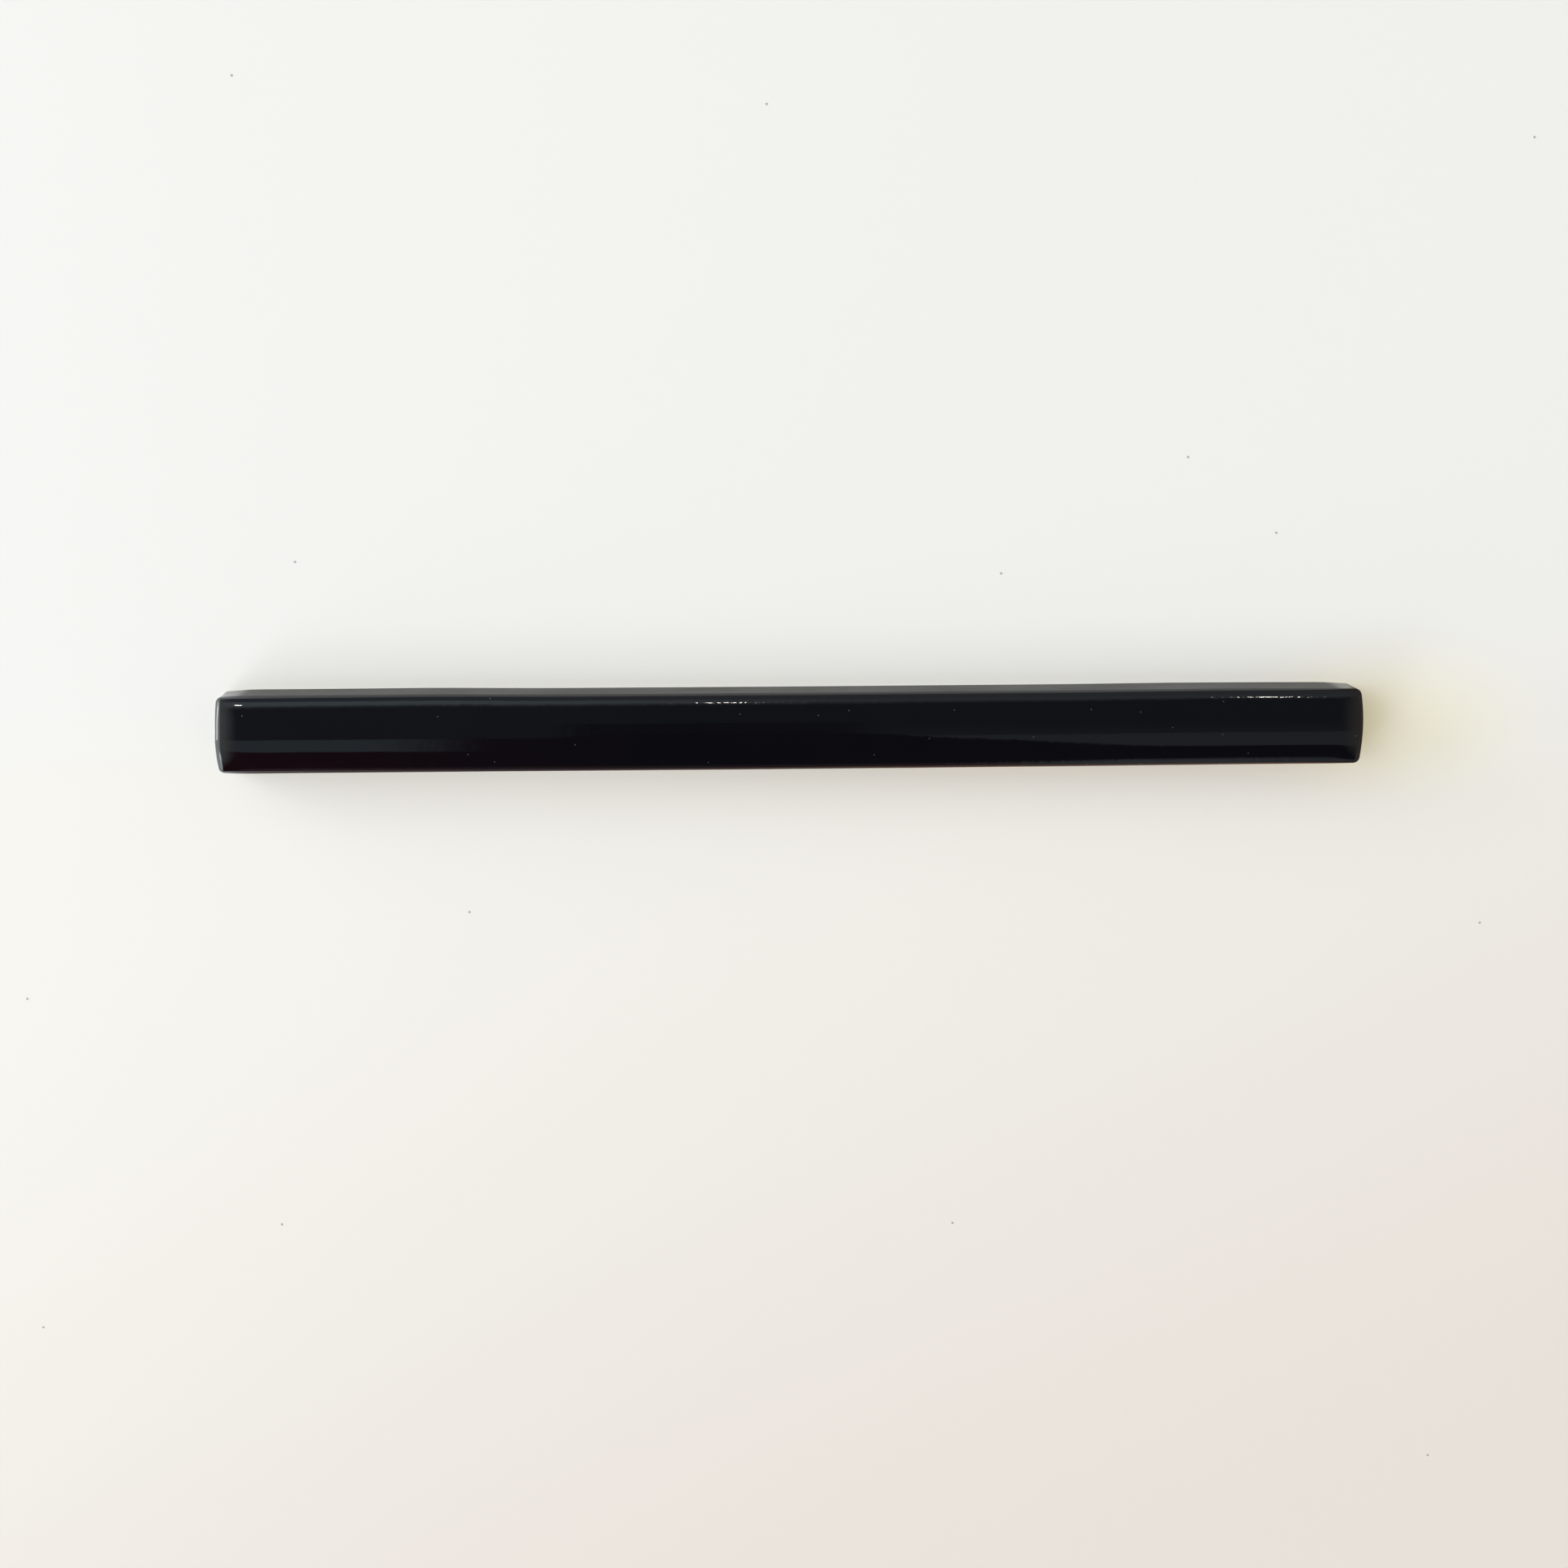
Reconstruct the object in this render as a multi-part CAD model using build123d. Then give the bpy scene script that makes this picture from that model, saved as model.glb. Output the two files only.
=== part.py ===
from build123d import *
import math
import os

# Pencil liner: a narrow half-round ceramic trim tile, pressed, glazed and fired as one piece.
# It lies on its back. +X runs along it, +Y across it and +Z out of its face.
# The origin is the middle of the back.

# Driving dimensions of the outline, in millimetres and degrees
liner_length = 203.2
liner_width = 14.5
liner_height = 10.0
crown_rise = 2.4
shoulder_radius = 1.5
wall_draft = 4.0

# Softened edges
end_radius = 1.2
back_edge_radius = 0.4
# An end edge rolls over the tight shoulders, so their radius limits it to this share.
end_share_of_shoulder = 0.85

# Keying grooves pressed into the back, which stop short of both ends
groove_count = 2
groove_width = 2.4
groove_spacing = 5.0
groove_depth = 0.5
groove_end_margin = 8.0
groove_draft = 20.0


def liner_section():
    """Cross section: flat back, drafted walls, tight shoulders and a round crown."""
    half_back = liner_width / 2
    brow = liner_height - crown_rise
    # The wall leans in as it rises, so the crown's chord is a little narrower than the back.
    half_crown = half_back - brow * math.tan(math.radians(wall_draft))
    with BuildSketch(Plane.YZ) as section:
        with BuildLine():
            Polyline((-half_crown, brow), (-half_back, 0), (half_back, 0), (half_crown, brow))
            ThreePointArc((half_crown, brow), (0, liner_height), (-half_crown, brow))
        make_face()
        fillet(section.vertices().group_by(Axis.Y)[-1], radius=shoulder_radius)
    return section.sketch


def end_profile():
    """Side view of the drafted ends, a trapezoid that reaches over the crown."""
    half_back = liner_length / 2
    half_top = half_back - liner_height * math.tan(math.radians(wall_draft))
    with BuildSketch(Plane.XZ) as profile:
        with BuildLine():
            Polyline(
                (-half_back, 0),
                (half_back, 0),
                (half_top, liner_height),
                (-half_top, liner_height),
                close=True,
            )
        make_face()
    return profile.sketch


def liner_blank():
    """The bar at its full length, with its end edges and back edges softened."""
    bar = extrude(liner_section(), amount=liner_length / 2, both=True)
    block = extrude(end_profile(), amount=liner_width, both=True)
    blank = bar & block
    for end in (Axis.X, -Axis.X):
        end_face = blank.faces().sort_by(end)[-1]
        rim = end_face.edges().filter_by(lambda edge: edge.center().Z > back_edge_radius)
        blank = fillet(rim, radius=min(end_radius, end_share_of_shoulder * shoulder_radius))
    back_face = blank.faces().sort_by(Axis.Z)[0]
    return fillet(back_face.edges(), radius=back_edge_radius)


def back_grooves():
    """Round-ended grooves side by side across the back, with sloped walls."""
    with BuildPart(Plane.XY) as grooves:
        with BuildSketch():
            with GridLocations(0, groove_spacing, 1, groove_count):
                SlotOverall(liner_length - 2 * groove_end_margin, groove_width)
        extrude(amount=groove_depth, taper=groove_draft)
    return grooves.part


def pencil_liner():
    """The whole tile: the softened bar with its back grooves cut away."""
    return liner_blank() - back_grooves()


os.makedirs("parts", exist_ok=True)
liner = pencil_liner()
liner.label = "pencil_liner"
export_step(liner, "parts/pencil_liner.step")
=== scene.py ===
import math

import bpy
from mathutils import Matrix, Vector


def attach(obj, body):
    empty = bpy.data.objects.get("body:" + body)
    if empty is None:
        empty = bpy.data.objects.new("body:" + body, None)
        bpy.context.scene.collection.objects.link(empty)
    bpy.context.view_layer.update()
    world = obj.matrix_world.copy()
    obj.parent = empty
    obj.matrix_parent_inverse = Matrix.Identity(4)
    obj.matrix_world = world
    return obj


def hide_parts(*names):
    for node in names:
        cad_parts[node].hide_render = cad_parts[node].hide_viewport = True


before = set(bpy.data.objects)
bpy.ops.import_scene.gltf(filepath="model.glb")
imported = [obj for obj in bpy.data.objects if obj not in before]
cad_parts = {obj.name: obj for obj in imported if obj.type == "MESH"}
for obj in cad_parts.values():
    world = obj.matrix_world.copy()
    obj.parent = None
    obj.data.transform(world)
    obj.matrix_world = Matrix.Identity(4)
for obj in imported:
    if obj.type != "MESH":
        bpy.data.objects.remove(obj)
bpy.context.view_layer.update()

# A glossy black pencil liner: a narrow half-round trim tile that lies on its back.
# +X runs along it, +Y across it, +Z out of its face, and the middle of its back is the origin.

MM = 0.001
# Lengths that differ by less than this are the same.
HAIR = 1e-6

# Section of the pressed body, the same values as the solid's
liner_length = 203.2 * MM
liner_width = 14.5 * MM
liner_height = 10.0 * MM
crown_rise = 2.4 * MM
shoulder_radius = 1.5 * MM
wall_draft = math.radians(4.0)
end_radius = 1.2 * MM
back_edge_radius = 0.4 * MM

# Keying grooves in the back
groove_width = 2.4 * MM
groove_spacing = 5.0 * MM
groove_depth = 0.5 * MM
groove_end_margin = 8.0 * MM
groove_draft = math.radians(20.0)


# The body

def deselect_everything():
    if bpy.context.mode != "OBJECT":
        bpy.ops.object.mode_set(mode="OBJECT")
    bpy.ops.object.select_all(action="DESELECT")


def pick(kind, test):
    """Selects the vertices or edges of the mesh in hand that pass the test, and nothing else."""
    bpy.ops.mesh.select_mode(type=kind)
    bpy.ops.mesh.select_all(action="DESELECT")
    bpy.ops.object.mode_set(mode="OBJECT")
    mesh = bpy.context.object.data
    if kind == "VERT":
        for vertex in mesh.vertices:
            vertex.select = test(vertex.co)
    else:
        for edge in mesh.edges:
            a, b = (mesh.vertices[i].co for i in edge.vertices)
            edge.select = test(a, b)
    bpy.ops.object.mode_set(mode="EDIT")


def shoulder_centre():
    """Middle of the shoulder's round, which touches the drafted wall and the crown."""
    half_back = liner_width / 2
    brow = liner_height - crown_rise
    half_crown = half_back - brow * math.tan(wall_draft)
    crown_radius = (half_crown ** 2 + crown_rise ** 2) / (2 * crown_rise)
    crown_centre = liner_height - crown_radius
    out = Vector((math.cos(wall_draft), math.sin(wall_draft)))
    up = Vector((-math.sin(wall_draft), math.cos(wall_draft)))
    start = Vector((half_back, -crown_centre)) - shoulder_radius * out
    reach = crown_radius - shoulder_radius
    along = -start.dot(up) + math.sqrt(start.dot(up) ** 2 - start.length_squared + reach ** 2)
    from_crown = start + along * up
    top_angle = math.atan2(from_crown.y, from_crown.x)
    return from_crown + Vector((0, crown_centre)), crown_centre, top_angle


def press_the_bar():
    """The long bar of the section: walls, shoulders and crown, made from one edge by spinning and extruding."""
    end_waste, shoulder_steps, crown_steps = 3 * MM, 10, 26
    # Heights of the rows of a wall's faces from the shoulder down, as shares of the wall
    wall_rows = (0.06, 0.24, 0.3, 0.4)
    shoulder, crown_centre, top_angle = shoulder_centre()
    wall_top = shoulder + shoulder_radius * Vector((math.cos(wall_draft), math.sin(wall_draft)))
    bar_length = liner_length + 2 * end_waste
    deselect_everything()
    bpy.ops.mesh.primitive_plane_add(size=bar_length)
    bar = bpy.context.object
    bar.name = "glazed_liner"
    bpy.ops.object.mode_set(mode="EDIT")
    pick("VERT", lambda co: co.y < 0)
    bpy.ops.mesh.delete(type="VERT")
    bpy.ops.mesh.select_all(action="SELECT")
    bpy.ops.transform.translate(value=(0, wall_top.x - bar_length / 2, wall_top.y))
    turn = top_angle - wall_draft
    for steps, angle, centre in (
        (shoulder_steps, turn, (0, shoulder.x, shoulder.y)),
        (crown_steps, math.pi - 2 * top_angle, (0, 0, crown_centre)),
        (shoulder_steps, turn, (0, -shoulder.x, shoulder.y)),
    ):
        bpy.ops.mesh.spin(steps=steps, angle=angle, center=centre, axis=(-1, 0, 0))
    # The walls grow down from the first and the last edge of the spin.
    for side in (-1, 1):
        y_top = side * wall_top.x
        pick("EDGE", lambda a, b: abs(a.y - y_top) < HAIR and abs(b.y - y_top) < HAIR
             and abs(a.z - wall_top.y) < HAIR)
        for share in wall_rows:
            drop = wall_top.y * share
            bpy.ops.mesh.extrude_edges_move(
                TRANSFORM_OT_translate={"value": (0, side * drop * math.tan(wall_draft), -drop)})
    pick("EDGE", lambda a, b: abs(a.z) < HAIR and abs(b.z) < HAIR)
    bpy.ops.mesh.edge_face_add()
    bpy.ops.mesh.select_all(action="SELECT")
    bpy.ops.mesh.remove_doubles(threshold=1e-7)
    bpy.ops.mesh.normals_make_consistent(inside=False)
    return bar


def cut_the_ends():
    """The two drafted ends, each one slanting cut with its face closed."""
    for side in (-1, 1):
        bpy.ops.mesh.select_all(action="SELECT")
        bpy.ops.mesh.bisect(
            plane_co=(side * liner_length / 2, 0, 0),
            plane_no=(side * math.cos(wall_draft), 0, math.sin(wall_draft)),
            use_fill=True,
            clear_outer=True,
        )


def soften_the_edges():
    """The round of each end's rim, and the small round where walls and ends meet the back."""
    # The rim's round stays just inside the solid's.
    rim_round = end_radius * 0.97
    near_end = liner_length / 2 - liner_height * math.tan(wall_draft) - 10 * HAIR
    pick("EDGE", lambda a, b: abs(a.x) > near_end and abs(b.x) > near_end and a.x * b.x > 0
         and max(a.z, b.z) > HAIR)
    bpy.ops.mesh.bevel(offset_type="OFFSET", offset=rim_round, segments=8, profile=0.5, clamp_overlap=False)
    pick("EDGE", lambda a, b: a.z < HAIR and b.z < HAIR)
    bpy.ops.mesh.bevel(
        offset_type="OFFSET", offset=back_edge_radius, segments=3, profile=0.5, clamp_overlap=False)


def cut_the_grooves(body):
    """Two round-ended keying grooves in the back, cut by a slot stretched out of a disc."""
    slot_half = liner_length / 2 - groove_end_margin - groove_width / 2
    narrow = 1 - groove_depth * math.tan(groove_draft) / (groove_width / 2)
    for side in (-1, 1):
        middle = side * groove_spacing / 2
        deselect_everything()
        bpy.ops.mesh.primitive_cylinder_add(
            vertices=24, radius=groove_width / 2, depth=groove_depth * 2, location=(0, middle, 0))
        cutter = bpy.context.object
        bpy.ops.object.transform_apply(location=True, rotation=False, scale=False)
        bpy.ops.object.mode_set(mode="EDIT")
        pick("VERT", lambda co: co.z > 0)
        bpy.ops.transform.resize(value=(narrow, narrow, 1), center_override=(0, middle, 0))
        for way in (-1, 1):
            pick("VERT", lambda co: co.x * way > HAIR)
            bpy.ops.transform.translate(value=(way * slot_half, 0, 0))
        bpy.ops.object.mode_set(mode="OBJECT")
        body.select_set(True)
        bpy.context.view_layer.objects.active = body
        cut = body.modifiers.new("groove", "BOOLEAN")
        cut.operation = "DIFFERENCE"
        cut.object = cutter
        cut.solver = "EXACT"
        bpy.ops.object.modifier_apply(modifier=cut.name)
        deselect_everything()
        cutter.select_set(True)
        bpy.context.view_layer.objects.active = cutter
        bpy.ops.object.delete()


def finish_the_faces():
    """Rows of faces along the bar, closer together near the ends, so that the glaze can roll and wave."""
    above_back = 0.2 * MM
    runs_along, fine_from = 0.1, 94 * MM
    pick("EDGE", lambda a, b: abs(a.x - b.x) > runs_along and max(a.z, b.z) > above_back)
    bpy.ops.mesh.subdivide(number_cuts=200)
    # The rows are now about 1 mm apart.
    pick("EDGE", lambda a, b: 0.8 * MM < abs(a.x - b.x) < 1.2 * MM and abs(a.x + b.x) / 2 > fine_from
         and abs(a.y - b.y) < 0.01 * MM and max(a.z, b.z) > above_back)
    bpy.ops.mesh.subdivide(number_cuts=2)


# The small unevenness of a pressed and fired bar

def nudge(shift, reach, falloff="SMOOTH"):
    """Moves the picked vertices, and those within reach of them less and less."""
    bpy.ops.transform.translate(
        value=shift, use_proportional_edit=True,
        proportional_edit_falloff=falloff, proportional_size=reach)


def widen(across, reach, falloff="SMOOTH"):
    """Scales the picked vertices across the bar, and those within reach of them less and less."""
    bpy.ops.transform.resize(
        value=(1, across, 1), center_override=(0, 0, 0), use_proportional_edit=True,
        proportional_edit_falloff=falloff, proportional_size=reach)


def roll_off_the_ends(arris_start):
    """The face sinks a little and the bar narrows towards both ends."""
    for side in (-1, 1):
        pick("VERT", lambda co: co.x * side > arris_start and co.z > 1 * MM)
        nudge((0, 0, -0.20 * MM), 3.8 * MM, "SHARP")
        pick("VERT", lambda co: co.x * side > arris_start)
        widen(0.984, 5 * MM, "SHARP")


def shape_the_corners(arris_start):
    """The glaze pooled into a small bead at each corner of the face, and the far corners are rounder at the foot."""
    near_lift, far_lift, far_reach = 0.40 * MM, 0.10 * MM, 3.0 * MM
    for side, near_reach in ((-1, 3.2 * MM), (1, 4.4 * MM)):
        for across, lift, reach in ((-1, near_lift, near_reach), (1, far_lift, far_reach)):
            pick("VERT", lambda co: co.x * side > arris_start - 0.8 * MM and co.y * across > 6.0 * MM
                 and co.z > 6.5 * MM)
            nudge((0, 0, lift), reach, "SHARP")
        pick("VERT", lambda co: co.x * side > arris_start and co.y > 5.6 * MM and 0.3 * MM < co.z < 3.5 * MM)
        nudge((-side * 0.10 * MM, -0.14 * MM, 0), 5 * MM)


def push_the_ends_out(arris_start):
    """The left end bulges a little near its middle, and the right end stands out a touch."""
    pick("VERT", lambda co: co.x < -arris_start - 0.5 * MM and -3.6 * MM < co.y < -1.2 * MM and co.z > 1 * MM)
    nudge((-0.12 * MM, 0, 0), 2.6 * MM)
    pick("VERT", lambda co: co.x > arris_start)
    nudge((0.07 * MM, 0, 0), 9 * MM)


def bow_the_bar():
    """Slight swells and a faint bow, which the kiln leaves along the bar."""
    # The place along the bar, reach and shift across in millimetres, and the share that the width grows to
    swells = (
        (-95, 26, 0.05, 1.013),
        (-67, 26, 0.085, 1.013),
        (-15, 130, -0.035, 1.0055),
        (-4, 62, -0.05, 1.0),
        (70, 24, 0.055, 1.008),
        (88, 22, 0.055, 1.0),
    )
    for place, reach, sideways, wider in swells:
        pick("VERT", lambda co: abs(co.x - place * MM) < 1.2 * MM)
        nudge((0, sideways * MM, 0), reach * MM)
        widen(wider, reach * MM)


def let_it_warp():
    """What the kiln does to the whole bar, whose back stays flat."""
    arris_start = liner_length / 2 - liner_height * math.tan(wall_draft) - end_radius
    roll_off_the_ends(arris_start)
    shape_the_corners(arris_start)
    push_the_ends_out(arris_start)
    bow_the_bar()
    pick("VERT", lambda co: co.z < 0.02 * MM)
    bpy.ops.transform.resize(value=(1, 1, 0), center_override=(0, 0, 0))


def wave_the_glaze(body):
    """Shallow waves in the fired glaze, which fade out down to the foot of the walls."""
    foot, fade = 0.5 * MM, 2 * MM
    glazed = body.vertex_groups.new(name="glazed")
    for vertex in body.data.vertices:
        share = min(1.0, max(0.0, (vertex.co.z - foot) / fade))
        if share > 0:
            glazed.add([vertex.index], share, "REPLACE")
    for name, grain, depth in (("broad_waves", 26 * MM, 0.07 * MM), ("short_waves", 9 * MM, 0.012 * MM)):
        waves = bpy.data.textures.new(name, "CLOUDS")
        waves.noise_scale = grain
        waves.noise_depth = 0
        ripple = body.modifiers.new(name, "DISPLACE")
        ripple.texture = waves
        ripple.texture_coords = "LOCAL"
        ripple.strength = depth
        ripple.mid_level = 0.5
        ripple.vertex_group = "glazed"
        bpy.ops.object.modifier_apply(modifier=ripple.name)


bar = press_the_bar()
cut_the_ends()
soften_the_edges()
bpy.ops.object.mode_set(mode="OBJECT")
cut_the_grooves(bar)
deselect_everything()
bar.select_set(True)
bpy.context.view_layer.objects.active = bar
bpy.ops.object.mode_set(mode="EDIT")
finish_the_faces()
let_it_warp()
bpy.ops.object.mode_set(mode="OBJECT")
wave_the_glaze(bar)
bpy.ops.object.shade_smooth_by_angle(angle=math.radians(35))


# Finishes

class Patch:
    """Adds nodes to a tree in a short way. A value is a number, a colour or another node's output."""

    def __init__(self, tree):
        self.tree = tree

    def put(self, socket, value):
        if isinstance(value, bpy.types.NodeSocket):
            self.tree.links.new(value, socket)
        else:
            socket.default_value = value

    def math(self, operation, *values):
        node = self.tree.nodes.new("ShaderNodeMath")
        node.operation = operation
        for socket, value in zip(node.inputs, values):
            self.put(socket, value)
        return node.outputs[0]

    def times(self, product, *factors):
        for factor in factors:
            product = self.math("MULTIPLY", product, factor)
        return product

    def ramp(self, value, low, high, to_low=0.0, to_high=1.0):
        """A smooth step from to_low at low to to_high at high."""
        node = self.tree.nodes.new("ShaderNodeMapRange")
        node.interpolation_type = "SMOOTHSTEP"
        names = ("Value", "From Min", "From Max", "To Min", "To Max")
        for name, item in zip(names, (value, low, high, to_low, to_high)):
            self.put(node.inputs[name], item)
        return node.outputs["Result"]

    def mix(self, share, first, second):
        node = self.tree.nodes.new("ShaderNodeMix")
        node.data_type = "RGBA"
        self.put(node.inputs["Factor"], share)
        self.put(node.inputs[6], first)
        self.put(node.inputs[7], second)
        return node.outputs[2]

    def noise(self, vector, scale, detail):
        node = self.tree.nodes.new("ShaderNodeTexNoise")
        self.put(node.inputs["Vector"], vector)
        self.put(node.inputs["Scale"], scale)
        node.inputs["Detail"].default_value = detail
        return node.outputs["Fac"]

    def place(self, scale=(1, 1, 1)):
        """The point on the object, stretched by the scale."""
        coords = self.tree.nodes.new("ShaderNodeTexCoord")
        mapping = self.tree.nodes.new("ShaderNodeMapping")
        self.tree.links.new(coords.outputs["Object"], mapping.inputs["Vector"])
        mapping.inputs["Scale"].default_value = scale
        return mapping.outputs["Vector"]

    def split(self, vector):
        node = self.tree.nodes.new("ShaderNodeSeparateXYZ")
        self.put(node.inputs[0], vector)
        return node.outputs

    def group(self, tree, **values):
        node = self.tree.nodes.new("ShaderNodeGroup")
        node.node_tree = tree
        for name, item in values.items():
            self.put(node.inputs[name], item)
        return node.outputs

    def bump(self, height, distance, below=None):
        """The normal of a relief, laid over the one below it."""
        node = self.tree.nodes.new("ShaderNodeBump")
        node.inputs["Strength"].default_value = 1.0
        node.inputs["Distance"].default_value = distance
        self.put(node.inputs["Height"], height)
        if below is not None:
            self.put(node.inputs["Normal"], below)
        return node.outputs["Normal"]

    def blend(self, share, first, second):
        """Mixes two shaders and puts the result on the surface."""
        node = self.tree.nodes.new("ShaderNodeMixShader")
        for socket, value in zip(node.inputs, (share, first.outputs[0], second.outputs[0])):
            self.put(socket, value)
        self.put(self.tree.nodes["Material Output"].inputs["Surface"], node.outputs[0])


def new_material(name):
    material = bpy.data.materials.new(name)
    material.use_nodes = True
    tree = material.node_tree
    return material, Patch(tree), tree.nodes["Principled BSDF"]


def new_group(name, given, results):
    """An empty node group with the named inputs and outputs."""
    group = bpy.data.node_groups.new(name, "ShaderNodeTree")
    for way, sockets in (("INPUT", given), ("OUTPUT", results)):
        for socket, kind in sockets.items():
            group.interface.new_socket(name=socket, in_out=way, socket_type=f"NodeSocket{kind}")
    return group, Patch(group), group.nodes.new("NodeGroupInput").outputs, group.nodes.new("NodeGroupOutput").inputs


def glaze_depth():
    """The uneven depth of a fired glaze, for every coat: its colour and a mask that is 1 where it is thin."""
    group, patch, given, result = new_group(
        "glaze_depth", {"deep": "Color", "thin": "Color", "scale": "Float"}, {"colour": "Color", "thinness": "Float"})
    thinness = patch.noise(patch.place(), given["scale"], 3)
    patch.put(result["colour"], patch.mix(thinness, given["deep"], given["thin"]))
    patch.put(result["thinness"], thinness)
    return group


def dust_specks():
    """Scattered specks of dust, for the glaze and the table: a mask that is 1 where there is one."""
    group, patch, given, result = new_group(
        "dust_specks", {"scale": "Float", "rarity": "Float", "size": "Float"}, {"mask": "Float"})
    node = group.nodes.new("ShaderNodeTexVoronoi")
    node.voronoi_dimensions = "2D"
    patch.put(node.inputs["Vector"], patch.place())
    patch.put(node.inputs["Scale"], given["scale"])
    picked = patch.math("GREATER_THAN", patch.split(node.outputs["Color"])[0], given["rarity"])
    soft_edge = patch.times(given["size"], 2.1)
    small = patch.ramp(node.outputs["Distance"], given["size"], soft_edge, 1, 0)
    patch.put(result["mask"], patch.times(picked, small))
    return group


depth_group, dust_group = glaze_depth(), dust_specks()


def orange_peel(patch):
    """The fine ripple of a fired glaze, stronger along the shoulders, where it breaks long highlights into dashes."""
    peel = patch.noise(patch.place(), 420, 1)
    drag = patch.noise(patch.place((0.25, 1, 1)), 260, 1)
    crackle = patch.math("SUBTRACT", patch.noise(patch.place((1, 0.12, 0.12)), 900, 1), 0.5)
    x, _, z = patch.split(patch.place())
    below_crown = patch.ramp(z, 8.95 * MM, 8.5 * MM)
    past_left_end = patch.ramp(x, -85 * MM, -55 * MM, 0.4, 0.85)
    base = patch.bump(drag, 0.006 * MM, patch.bump(peel, 0.008 * MM))
    return patch.bump(patch.times(crackle, patch.times(below_crown, past_left_end)), 0.021 * MM, base)


def black_glaze():
    """The glossy coat of the crown and shoulders, with a few specks of kiln dust on its upper face."""
    material, patch, shader = new_material("black_glaze")
    glaze = patch.group(depth_group, deep=(0.001, 0.001, 0.0014, 1), thin=(0.0022, 0.002, 0.0024, 1), scale=60)
    upper_face = patch.math("GREATER_THAN", patch.split(patch.place())[2], 7.6 * MM)
    speck = patch.times(patch.group(dust_group, scale=210, rarity=0.78, size=0.014)["mask"], upper_face)
    smooth = patch.math("MULTIPLY_ADD", glaze["thinness"], 0.03, 0.035)
    patch.put(shader.inputs["Base Color"], patch.mix(speck, glaze["colour"], (0.055, 0.055, 0.052, 1)))
    patch.put(shader.inputs["Roughness"], patch.math("MULTIPLY_ADD", speck, 0.4, smooth))
    shader.inputs["IOR"].default_value = 1.52
    patch.put(shader.inputs["Normal"], orange_peel(patch))
    return material


def thin_glaze():
    """The walls carry a thinner coat with dry patches in it, which mirrors less and a little softer."""
    material, patch, shader = new_material("thin_glaze")
    dry_patch = patch.noise(patch.place(), 60, 3)
    streak = patch.noise(patch.place((0.12, 1, 1)), 900, 3)
    glaze = patch.group(depth_group, deep=(0.004, 0.0035, 0.0014, 1), thin=(0.008, 0.0074, 0.0026, 1), scale=60)
    ripple = patch.bump(streak, 0.012 * MM)
    patch.put(shader.inputs["Roughness"], patch.math("MULTIPLY_ADD", streak, 0.16, 0.06))
    dry = material.node_tree.nodes.new("ShaderNodeBsdfPrincipled")
    dry.inputs["Roughness"].default_value = 0.8
    for coat, ior in ((shader, 1.42), (dry, 1.1)):
        patch.put(coat.inputs["Base Color"], glaze["colour"])
        coat.inputs["IOR"].default_value = ior
        patch.put(coat.inputs["Normal"], ripple)
    # The glaze ran together at the corners, so there is no dry patch there.
    from_middle = patch.math("ABSOLUTE", patch.split(patch.place())[0])
    along_wall = patch.ramp(from_middle, 96 * MM, 98.5 * MM, 1, 0)
    patch.blend(patch.times(patch.ramp(dry_patch, 0.3, 0.7, 0.43, 0.55), along_wall), shader, dry)
    return material


def bare_back():
    """The unglazed clay of the back and its grooves."""
    material, patch, shader = new_material("bare_back")
    speckle = patch.noise(patch.place(), 500, 4)
    cloud = patch.noise(patch.place(), 40, 2)
    clay = patch.mix(cloud, (0.56, 0.50, 0.42, 1), (0.66, 0.61, 0.53, 1))
    patch.put(shader.inputs["Base Color"], patch.mix(patch.ramp(speckle, 0.62, 0.72), clay, (0.36, 0.31, 0.26, 1)))
    shader.inputs["Roughness"].default_value = 0.85
    shader.inputs["Specular IOR Level"].default_value = 0.3
    patch.put(shader.inputs["Normal"], patch.bump(speckle, 0.05 * MM))
    return material


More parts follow.
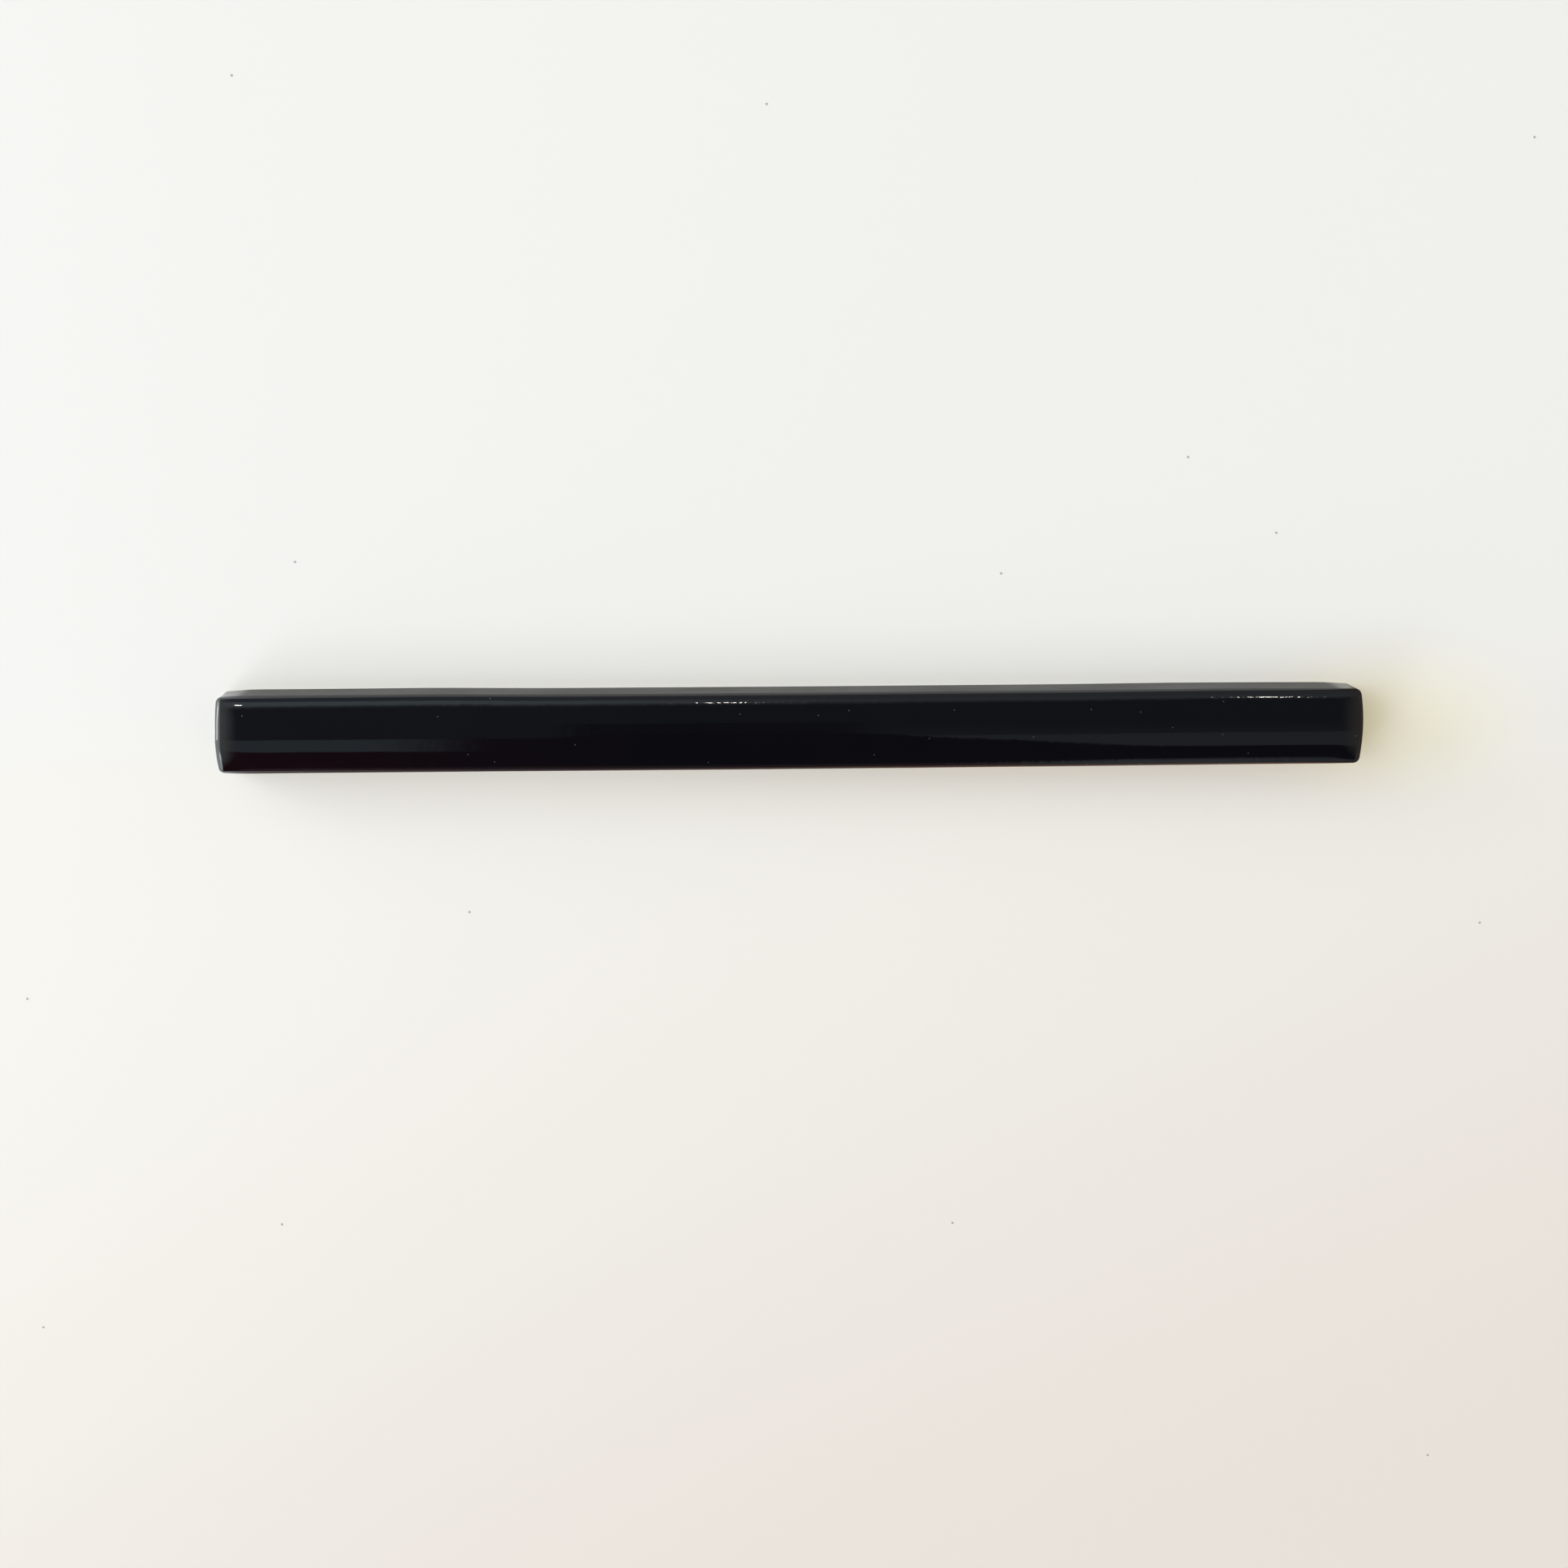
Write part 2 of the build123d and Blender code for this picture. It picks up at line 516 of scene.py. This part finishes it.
def table_top():
    """The pale table: its tone, a glow over it that the camera sees, and painted reflections of it that the rims of
    the tile mirror. Tone and glow also carry painted shade.
    """
    material, patch, shader = new_material("pale_table")
    x, y, _ = patch.split(patch.place())
    # A neutral white with painted shade: it turns a little warmer and darker towards the near side
    lean = patch.math("SUBTRACT", patch.times(x, 0.35), y)
    tone = patch.mix(patch.ramp(lean, -0.02, 0.20), (0.85, 0.845, 0.835, 1), (0.735, 0.67, 0.65, 1))
    # The glow turns warmer towards the near side, a painted warm shade.
    glow_colour = patch.mix(patch.ramp(y, 5 * MM, -15 * MM), (0.93, 0.90, 0.80, 1), (0.96, 0.885, 0.74, 1))
    # Painted warm shade: the glow turns warm along the right half of the near edge.
    painted_near_shade = patch.times(
        patch.ramp(y, -16 * MM, -7.8 * MM), patch.ramp(y, 2 * MM, -2 * MM),
        patch.ramp(x, -60 * MM, 50 * MM), patch.ramp(x, 122 * MM, 102 * MM))
    glow_colour = patch.mix(painted_near_shade, glow_colour, (0.90, 0.775, 0.58, 1))
    # Painted warm light: near the right end the tone cools and the glow turns warm, standing in for warm bounce from
    # the room that fills the shade beyond that end.
    beyond = patch.math("SUBTRACT", x, 110 * MM)
    aside = patch.times(y, 1.8)
    reach = patch.math("SQRT", patch.math("ADD", patch.times(beyond, beyond), patch.times(aside, aside)))
    painted_warm_fill = patch.ramp(reach, 4 * MM, 34 * MM, 1, 0)
    tone = patch.mix(painted_warm_fill, tone, (0.70, 0.72, 0.76, 1))
    glow_colour = patch.mix(painted_warm_fill, glow_colour, (1.28, 1.13, 0.66, 1))
    # A few specks of dust
    dust = (0.12, 0.11, 0.10, 1)
    speck = patch.times(patch.group(dust_group, scale=23, rarity=0.62, size=0.0032)["mask"], 0.6)
    tone = patch.mix(speck, tone, dust)
    glow_colour = patch.mix(speck, glow_colour, dust)
    patch.put(shader.inputs["Base Color"], tone)
    shader.inputs["Roughness"].default_value = 0.28
    # Painted reflections: for glossy rays the table glows in colours that the rims mirror, the near edge a shaded,
    # reddish side, the left end a bright window, the right end brown.
    rays = material.node_tree.nodes.new("ShaderNodeLightPath").outputs
    mirrored = rays["Is Glossy Ray"]
    near_rim_reflection = patch.times(patch.ramp(y, -7.0 * MM, -8.5 * MM), mirrored)
    left_rim_reflection = patch.times(patch.ramp(x, -100.8 * MM, -103.0 * MM), mirrored)
    right_rim_reflection = patch.times(patch.ramp(x, 100.5 * MM, 102.5 * MM), mirrored)
    reddish = patch.mix(patch.ramp(x, -50 * MM, 50 * MM), (0.30, 0.10, 0.11, 1), (0.62, 0.28, 0.10, 1))
    for side, colour in ((near_rim_reflection, reddish), (left_rim_reflection, (1.9, 2.05, 2.1, 1)), (right_rim_reflection, (0.13, 0.055, 0.02, 1))):
        glow_colour = patch.mix(side, glow_colour, colour)
    glow = material.node_tree.nodes.new("ShaderNodeEmission")
    patch.put(glow.inputs["Color"], glow_colour)
    glow.inputs["Strength"].default_value = 1.0
    seen = patch.math("MAXIMUM", rays["Is Camera Ray"], rays["Is Transmission Ray"])
    # How much of the table's glow the glossy rays see: most where the rims get their painted reflections, a little
    # elsewhere.
    painted_rim_reflections = patch.math("MAXIMUM", right_rim_reflection, patch.math("MAXIMUM", left_rim_reflection, patch.times(near_rim_reflection, 0.75)))
    in_mirrors = patch.math("MULTIPLY_ADD", painted_rim_reflections, 0.65, patch.times(mirrored, 0.15))
    patch.blend(patch.math("MULTIPLY_ADD", seen, 0.36, in_mirrors), shader, glow)
    return material


def finish_of(face):
    """0 for the glossy coat, 1 for the thin coat on the walls, 2 for the bare back and its grooves."""
    x, y, z = face.center
    in_groove = z < groove_depth + 0.05 * MM and abs(y) < 4.2 * MM and abs(x) < liner_length / 2 - groove_end_margin
    if z < 0.1 * MM or in_groove or (face.normal.z < -0.2 and z < 0.6 * MM):
        return 2
    return 1 if face.normal.z < 0.30 else 0


for finish in (black_glaze(), thin_glaze(), bare_back()):
    bar.data.materials.append(finish)
for face in bar.data.polygons:
    face.material_index = finish_of(face)
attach(bar, "root")
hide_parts("pencil_liner")


# Floor, lamps and surroundings

deselect_everything()
bpy.ops.mesh.primitive_plane_add(size=6.0)
floor = bpy.context.object
floor.name = "pale_floor"
floor.data.materials.append(table_top())


def lamp_towards(name, azimuth, elevation, distance, size, strength, colour, target=(0, 0, 0)):
    """An oblong area lamp that looks at the target. Azimuth 0 is along +X and 90 along +Y, and strength 1 is white."""
    az, el = math.radians(azimuth), math.radians(elevation)
    lamp = bpy.data.lights.new(name, "AREA")
    lamp.shape = "RECTANGLE"
    lamp.size, lamp.size_y = size
    lamp.energy = strength * math.pi * size[0] * size[1]
    lamp.color = colour
    holder = bpy.data.objects.new(name, lamp)
    away = Vector((math.cos(az) * math.cos(el), math.sin(az) * math.cos(el), math.sin(el)))
    holder.location = Vector(target) + away * distance
    holder.rotation_euler = (-away).to_track_quat("-Z", "Y").to_euler()
    bpy.context.scene.collection.objects.link(holder)


lamp_towards("left_softbox", 167, 15, 1.8, (1.35, 0.64), 9.9, (0.96, 0.99, 1.0))
lamp_towards("near_left_softbox", 224, 30, 1.8, (0.4, 0.4), 7.0, (0.9, 0.95, 1.0))
# Small lamps that the far shoulder mirrors: the place along it in millimetres, azimuth, elevation and width
small_lamps = ((-96.2, 110.9, 35.2, 0.04), (-11.3, 89.7, 37.0, 0.03), (90.7, 70.3, 33.8, 0.04))
for number, (x, azimuth, elevation, width) in enumerate(small_lamps):
    on_shoulder = (x * MM, 5.4 * MM, 8.5 * MM)
    lamp_towards(
        f"small_lamp_{number}", azimuth, elevation, 2.2, (width, 0.03), 60.0, (1.0, 0.95, 0.86), on_shoulder)


def studio_surround():
    """The room that the glaze mirrors: dim ceiling, a paler far wall and near side, open daylight to the left."""
    world = bpy.data.worlds.new("studio")
    bpy.context.scene.world = world
    world.use_nodes = True
    tree = world.node_tree
    patch = Patch(tree)
    along, across, up = patch.split(tree.nodes.new("ShaderNodeTexCoord").outputs["Generated"])
    # Tilt from straight up, in degrees, positive towards the far side
    tilt = patch.times(patch.math("ARCTAN2", across, up), 180 / math.pi)
    # The ceiling, lighter on the near side of its right half
    ceiling = patch.mix(patch.ramp(along, -0.18, 0.06), (0.116, 0.133, 0.168, 1), (0.094, 0.107, 0.143, 1))
    lit_side = patch.times(patch.ramp(tilt, 10, -13), patch.ramp(along, 0.06, 0.11))
    ceiling = patch.mix(lit_side, ceiling, (0.138, 0.148, 0.18, 1))
    # The far wall from about 49 degrees down, with a bright strip along its top that dims to the right
    far_wall = patch.mix(patch.ramp(along, -0.2, 0.1), (0.30, 0.36, 0.43, 1), (0.35, 0.38, 0.43, 1))
    down_the_wall = patch.math("SUBTRACT", tilt, patch.math("MULTIPLY_ADD", along, 10.0, 49.0))
    colour = patch.mix(patch.ramp(down_the_wall, -3.0, 4.5), ceiling, far_wall)
    strip = patch.times(
        patch.ramp(down_the_wall, 1.0, 6.5), patch.ramp(tilt, 58, 61, 1, 0), patch.ramp(along, -0.16, 0.12, 1, 0.12))
    colour = patch.mix(strip, colour, (0.74, 0.90, 1.0, 1))
    # The paler near side
    near_band = patch.mix(patch.ramp(along, -0.12, 0.1), (0.34, 0.42, 0.49, 1), (0.25, 0.275, 0.33, 1))
    colour = patch.mix(patch.ramp(tilt, -12.5, -16, 0, 1), colour, near_band)
    # The unlit middle of the ceiling, and below it the dark side that widens to both ends
    unlit = patch.times(
        patch.ramp(along, -0.082, -0.066), patch.ramp(along, 0.056, 0.085, 1, 0), patch.ramp(tilt, 12.2, 14.2, 1, 0))
    colour = patch.mix(unlit, colour, (0.062, 0.064, 0.088, 1))
    upper_edge = patch.math("ADD", patch.ramp(along, -0.09, -0.06, -6.5, 0), patch.ramp(along, 0.04, 0.27, -7, -42))
    past_edge = patch.ramp(patch.math("SUBTRACT", tilt, upper_edge), -1.2, 1.2, 1, 0)
    upper = patch.times(past_edge, patch.ramp(along, -0.185, -0.116))
    lower = patch.ramp(patch.math("MULTIPLY_ADD", along, 7.1, tilt), -40.2, -37.8, 1, 0)
    dark = patch.mix(patch.ramp(along, -0.3, -0.02), (0.14, 0.035, 0.06, 1), (0.05, 0.045, 0.075, 1))
    colour = patch.mix(patch.math("MAXIMUM", upper, lower), colour, dark)
    # The foot of the near side, reddish on the left and grey on the right
    foot = patch.mix(patch.ramp(along, -0.25, -0.1), (0.42, 0.22, 0.25, 1), (0.22, 0.14, 0.15, 1))
    foot = patch.mix(patch.ramp(along, 0.1, 0.22), foot, (0.40, 0.44, 0.50, 1))
    foot = patch.mix(patch.ramp(along, 0.25, 0.31), foot, (0.28, 0.31, 0.35, 1))
    above_foot = patch.math("SUBTRACT", tilt, patch.ramp(along, 0.12, 0.24, -75, -69.5))
    colour = patch.mix(patch.ramp(above_foot, 4, -4), colour, foot)
    # Daylight beyond the left end, and a dull wall beyond the right one
    colour = patch.mix(patch.ramp(along, -0.31, -0.42), colour, (0.85, 0.9, 0.93, 1))
    colour = patch.mix(patch.ramp(along, -0.40, -0.66), colour, (3.1, 3.2, 3.25, 1))
    colour = patch.mix(patch.ramp(along, 0.36, 0.50), colour, (0.42, 0.39, 0.35, 1))
    # Seen directly, beyond the table's edge, the room is a plain pale backdrop.
    rays = tree.nodes.new("ShaderNodeLightPath").outputs
    colour = patch.mix(rays["Is Camera Ray"], colour, (0.74, 0.72, 0.69, 1))
    background = tree.nodes["Background"]
    patch.put(background.inputs["Color"], colour)
    background.inputs["Strength"].default_value = 1.0


studio_surround()


# Camera

def turned(vector, axis, angle):
    return (vector * math.cos(angle) + axis.cross(vector) * math.sin(angle)
            + axis * axis.dot(vector) * (1 - math.cos(angle)))


def place_camera():
    """A camera almost straight above the tile, leaning a little to its far side."""
    view_angle = math.radians(45)
    distance, lean, yaw, roll = 0.34164, math.radians(6.871), math.radians(-2.310), math.radians(-0.197)
    # Half the frame's width, and how far the aim lies off its middle, in pixels
    half_frame, off_x, off_y = 966, 10.84, -71.70
    focal = half_frame / math.tan(view_angle / 2)
    place = Vector((math.sin(yaw) * math.cos(lean), math.sin(lean), math.cos(yaw) * math.cos(lean))) * distance
    ahead = -place.normalized()
    right = ahead.cross(Vector((0, 1, 0))).normalized()
    up = right.cross(ahead)
    right, up = right * math.cos(roll) + up * math.sin(roll), up * math.cos(roll) - right * math.sin(roll)
    aim_x, aim_y = math.atan2(off_x, focal), math.atan2(off_y, focal)
    ahead, right = turned(ahead, up, aim_x), turned(right, up, aim_x)
    ahead, up = turned(ahead, right, aim_y), turned(up, right, aim_y)
    lens = bpy.data.cameras.new("camera")
    lens.sensor_width = 36
    lens.lens = lens.sensor_width / 2 / math.tan(view_angle / 2)
    lens.clip_start = 0.01
    camera = bpy.data.objects.new("camera", lens)
    bpy.context.scene.collection.objects.link(camera)
    camera.matrix_world = Matrix((
        (right.x, up.x, -ahead.x, place.x),
        (right.y, up.y, -ahead.y, place.y),
        (right.z, up.z, -ahead.z, place.z),
        (0, 0, 0, 1),
    ))
    bpy.context.scene.camera = camera


place_camera()
bpy.context.scene.view_settings.view_transform = "Standard"
